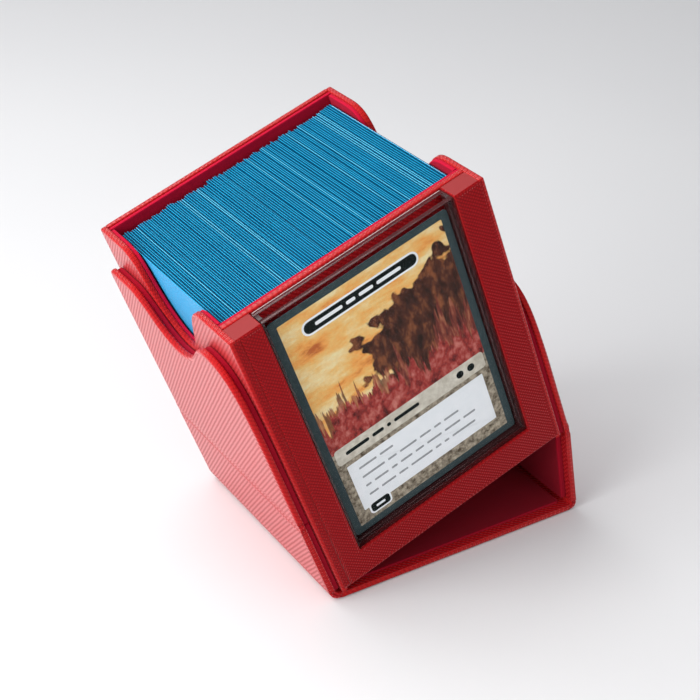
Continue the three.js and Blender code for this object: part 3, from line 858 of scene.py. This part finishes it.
PACKETS, SLEEVES_PER_PACKET = 15, 7
DECK_START, DECK_END = 3.8, 84.2          # x of the first sleeve, and of the last one's end
DECK_FRONT, DECK_BACK = 14, 79.7          # y of the sleeves' edges, before each one's own shift
SLEEVE_TALL, SLEEVE_WIDE = 91.0, 0.62     # height of a sleeve, and its thickness with its card
FILM_THICK, LINE_THICK = 0.12, 0.22       # of a sleeve's right film, and of its left one
DECK_MATERIALS = [FILM, SHADED_CARD_EDGE, WHITE_CARD, MID_FILM, BRIGHT_HIGHLIGHT_FILM, FACE_FILM]
IN_SHADED_FILM, IN_SHADED_CARD, IN_WHITE_CARD, IN_MID, IN_BRIGHT_HIGHLIGHT, IN_FACE = range(len(DECK_MATERIALS))


def film(shape, x, thick, ys, zs, sway, mark, edge_mark):
    """A thin upright film; sway gives its sideways offset at each (z, y) of its grid, and
    edge_mark is its top edge's material."""
    rows, columns = len(zs), len(ys)
    points = []
    for offset in (0, thick):
        points += [(x + offset + sway[k, j], ys[j], zs[k])
                   for k in range(rows) for j in range(columns)]

    def index(k, j, s):
        return s * rows * columns + k * columns + j

    faces, edges = [], []
    for k in range(rows - 1):
        for j in range(columns - 1):
            a, b, c, d = ((k, j), (k, j + 1), (k + 1, j + 1), (k + 1, j))
            faces.append(tuple(index(*q, 0) for q in (a, d, c, b)))
            faces.append(tuple(index(*q, 1) for q in (a, b, c, d)))
    for j in range(columns - 1):
        for k, turn in ((0, 1), (rows - 1, -1)):
            face = (index(k, j, 0), index(k, j + 1, 0), index(k, j + 1, 1), index(k, j, 1))
            faces.append(face[::turn])
            edges.append(edge_mark if k > 0 else mark)
    for k in range(rows - 1):
        for j, turn in ((0, -1), (columns - 1, 1)):
            face = (index(k, j, 0), index(k + 1, j, 0), index(k + 1, j, 1), index(k, j, 1))
            faces.append(face[::turn])
            edges.append(mark)
    uvs = [[(points[i][1], points[i][2]) for i in f] for f in faces]
    shape.add(points, faces, uvs, [mark] * (len(faces) - len(edges)) + edges)


def sleeved_card(shape, x, near, far, high, mark):
    """The card inside the films, and the closed rear, front and lower edges of its sleeve."""
    edge, foot = 0.4, DECK_BOTTOM + 0.1
    x0, x1 = x + LINE_THICK, x + SLEEVE_WIDE - FILM_THICK
    for y in (near, far - edge):
        shape.brick((x0, y, foot), (x1, y + edge, high - 1.2))
    shape.brick((x0, near + edge, foot), (x1, far - edge, DECK_BOTTOM + 0.5))
    card_top = high - (0.1 if mark == IN_WHITE_CARD else 1.6)
    shape.brick((x0 + 0.02, near + 1, DECK_BOTTOM + 0.7), (x1 - 0.02, far - 1, card_top), mark=mark)


def packet(i, pitch):
    """The shape of packet i: seven sleeves, each of two films open at the top round a card."""
    shape = Shape()
    top = DECK_BOTTOM + SLEEVE_TALL + 0.2 * math.sin(i * 2.4)
    back = DECK_BACK - 0.25 * (1 + math.sin(i * 1.7))
    for k in range(SLEEVES_PER_PACKET):
        x = DECK_START + i * pitch + k * (pitch / SLEEVES_PER_PACKET)
        high = top + rng.uniform(-0.18, 0.18)
        far = back + rng.uniform(-0.7, 0.5)
        near = DECK_FRONT + rng.uniform(-0.2, 0.4)
        ys = np.linspace(near, far, 9)
        zs = np.array([DECK_BOTTOM + 0.1, high - 22, high - 6, high - 2, high])
        rise = ((zs - DECK_BOTTOM) / SLEEVE_TALL)[:, None]
        lean = rng.uniform(-0.05, 0.05)
        # Each sleeve's left film gets a lighter top edge: a painted highlight on some, the sleeves'
        # own blue on the rest, against the painted shade of the other faces.
        line = IN_BRIGHT_HIGHLIGHT if rng.uniform() < 0.15 else IN_MID
        first = i == 0 and k == 0
        for is_left, thick, above in ((True, LINE_THICK, 0.15), (False, FILM_THICK, 0.0)):
            ripple = 0.02 * np.sin(ys / rng.uniform(9, 20) + rng.uniform(0, 6.3))
            sway = rise ** 3 * (lean + ripple[None, :])
            start = x if is_left else x + (SLEEVE_WIDE - thick)
            film(shape, start, thick, ys, zs + above, sway,
                 IN_FACE if first and is_left else IN_SHADED_FILM, line if is_left else IN_SHADED_FILM)
        last = i == PACKETS - 1 and k == SLEEVES_PER_PACKET - 1
        sleeved_card(shape, x, near, far, high, IN_WHITE_CARD if last else IN_SHADED_CARD)
    return shape


def build_deck():
    """A hundred or so sleeved cards, in three groups of five packets."""
    pitch = (DECK_END - DECK_START) / PACKETS
    for i in range(PACKETS):
        group, number = ("left", "middle", "right")[i // 5], i % 5 + 1
        piece = packet(i, pitch).build(f"sleeves_{group}_{number}", BOX, DECK_MATERIALS,
                                       f"cards_{group}")
        finished(piece, "sleeve_blue", f"cards_{group}_{number}")


def finish_magnets():
    """Nickel on the CAD's own magnets, which stay as they are."""
    for name, node in frame["nodes"].items():
        if "magnet" in name:
            node.data.materials.clear()
            node.data.materials.append(NICKEL)


# ---- stage, camera and light ----
CAMERA_AT = Vector((-0.23829, -0.38452, 0.32043))
CAMERA_RIGHT = Vector((0.85048, -0.52600, 0.00307))
CAMERA_FORWARD = Vector((0.45706, 0.73610, -0.49925))
LENS, SENSOR = 84.24, 36.0
FLOOR_DROP = 0.0004            # of the floor below the object, so that their faces don't fight
WORLD_COLOUR, WORLD_STRENGTH = (0.96, 0.97, 1.0, 1), 0.415
LIGHTS = (  # name, place, target, size, power
    ("key", (-0.24, 0.40, 0.84), (0, 0, 0.05), (0.7, 0.7), 4.3),
    ("left_fill", (-0.85, -0.08, 0.33), (-0.10, -0.02, 0.04), (0.9, 0.45), 7.8),
    ("left_top", (-0.36, 0.00, 0.42), (-0.15, -0.02, 0), (0.3, 0.3), 1.0),
    ("front_fill", (0.25, -0.95, 0.4), (0, 0, 0.06), (0.7, 0.5), 1.7),
)


def build_camera():
    data = bpy.data.cameras.new("camera")
    data.lens, data.sensor_width = LENS, SENSOR
    camera = bpy.data.objects.new("camera", data)
    right = CAMERA_RIGHT.normalized()
    back = -CAMERA_FORWARD.normalized()
    up = back.cross(right).normalized()
    right = up.cross(back)
    turn = Matrix((right, up, back)).transposed().to_4x4()
    camera.matrix_world = Matrix.Translation(CAMERA_AT) @ turn
    data.clip_start, data.clip_end = 0.01, 20
    bpy.context.scene.collection.objects.link(camera)
    bpy.context.scene.camera = camera


def area_light(name, at, target, size, power):
    data = bpy.data.lights.new(name, "AREA")
    data.shape, data.size, data.size_y = "RECTANGLE", size[0], size[1]
    data.energy = power
    light = bpy.data.objects.new(name, data)
    light.location = at
    light.rotation_euler = (Vector(target) - Vector(at)).to_track_quat("-Z", "Y").to_euler()
    bpy.context.scene.collection.objects.link(light)


def build_stage():
    """A pale floor that sweeps up far behind the object, all round."""
    rings = [(0.3, 0.0), (0.8, 0.0), (1.6, 0.0), (2.2, 0.02), (2.7, 0.12), (3.0, 0.35),
             (3.15, 0.8), (3.2, 1.6)]              # radius and height, in metres
    sides = 48
    points, faces = [], []
    for radius, height in rings:
        points += [(radius * math.cos(a), radius * math.sin(a), height - FLOOR_DROP)
                   for a in (2 * math.pi * k / sides for k in range(sides))]
    for r in range(len(rings) - 1):
        for k in range(sides):
            j = (k + 1) % sides
            faces.append((r * sides + k, r * sides + j, (r + 1) * sides + j, (r + 1) * sides + k))
    faces = [f[::-1] for f in faces] + [tuple(range(sides))]
    mesh = bpy.data.meshes.new("stage_floor")
    mesh.from_pydata(points, [], faces)
    mesh.shade_smooth()
    mesh.materials.append(studio_floor("studio_floor"))
    floor = bpy.data.objects.new("stage_floor", mesh)
    bpy.context.scene.collection.objects.link(floor)


def light_scene():
    world = bpy.data.worlds.new("studio")
    bpy.context.scene.world = world
    world.use_nodes = True
    background = world.node_tree.nodes["Background"]
    background.inputs["Color"].default_value = WORLD_COLOUR
    background.inputs["Strength"].default_value = WORLD_STRENGTH
    for light in LIGHTS:
        area_light(*light)
    bpy.context.scene.view_settings.view_transform = "Standard"


build_camera()
build_stand()
build_bends()
build_box()
build_pad()
build_display()
build_case()
build_display_card()
build_deck()
finish_magnets()
build_stage()
light_scene()

bpy.context.view_layer.update()
